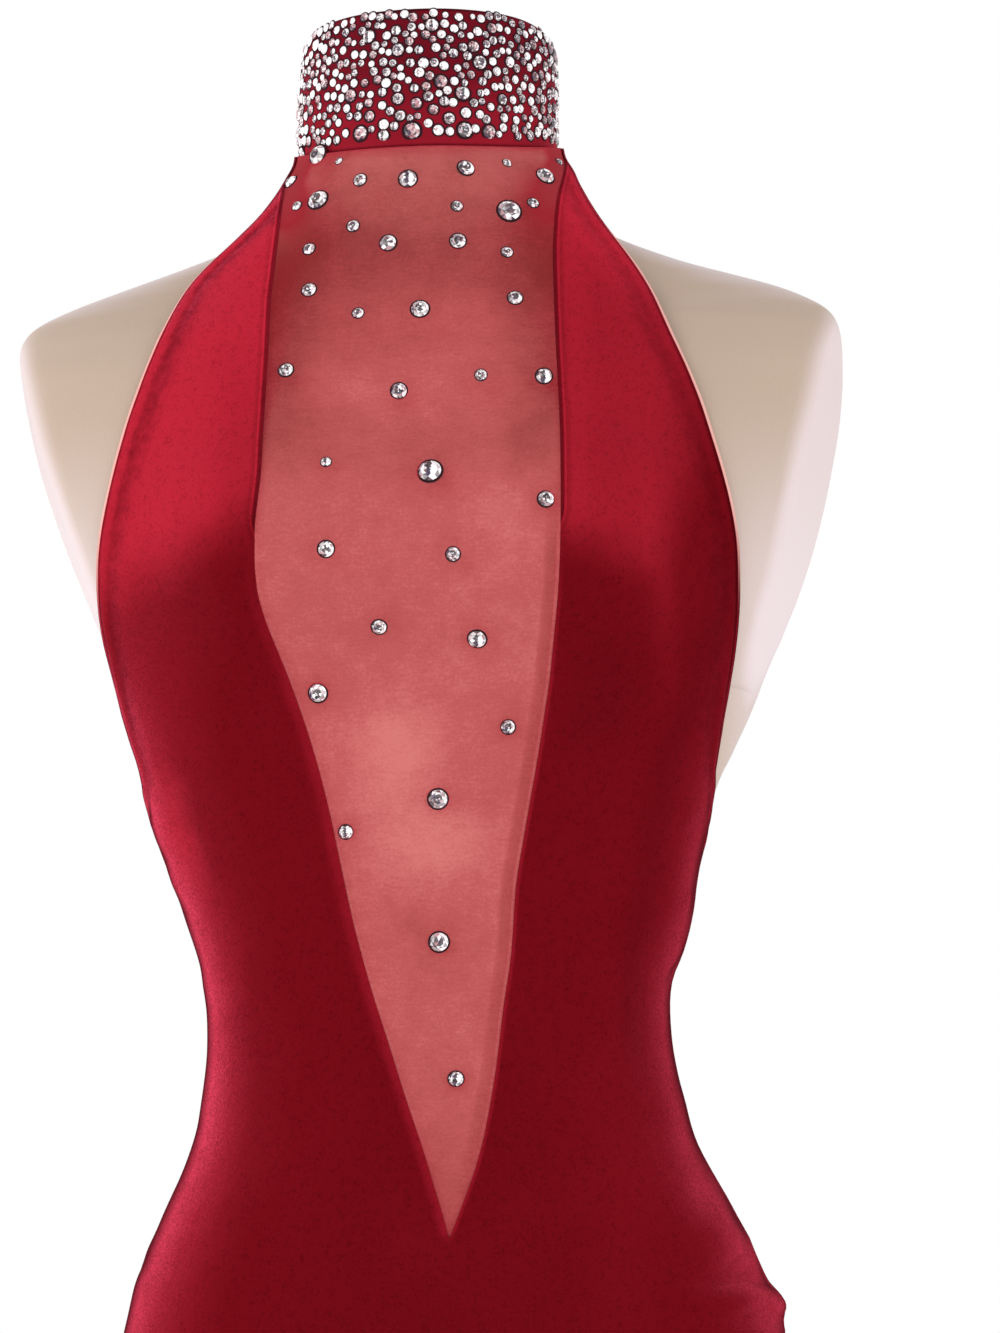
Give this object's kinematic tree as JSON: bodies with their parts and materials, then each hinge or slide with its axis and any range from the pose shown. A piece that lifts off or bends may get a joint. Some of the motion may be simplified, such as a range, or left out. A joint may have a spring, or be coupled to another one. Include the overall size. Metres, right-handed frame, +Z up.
{
  "type": "halter maxi dress on a dress form",
  "caption": "Stretch velvet halter maxi dress with a sheer deep-V insert and a jewelled stand collar, worn by a limbless dress form on a round stand.",
  "frame": {"origin": "on the floor, under the middle of the whole object and the round base", "axes": "+Z up, front of the dress towards -Y, +X towards the wearer's left, which is the right of a front view"},
  "size_m": [0.4492, 0.3917, 1.501],
  "materials": {
    "velvet_red": "crimson stretch velvet with a soft sheen that brightens where the surface turns away",
    "mesh_red": "sheer red stretch mesh, fine knit grain, lets the cream form through",
    "collar_red": "red stretch cloth, matte, densely set with clear faceted stones",
    "hook_steel": "small nickelled hook-and-bar",
    "form_cream": "cream knitted cover, matte",
    "cap_wood": "satin varnished",
    "stand_metal": "satin"
  },
  "bodies": {
    "root": {"collar": "collar_red", "mesh_insert": "mesh_red", "front_panel": "velvet_red", "back_panel": "velvet_red", "neck_hook_upper": "hook_steel", "neck_hook_lower": "hook_steel", "form_torso": "form_cream", "form_neck_cap": "cap_wood", "pole_flange": "stand_metal", "pole": "stand_metal", "base_plate": "stand_metal"}
  },
  "joints": []
}
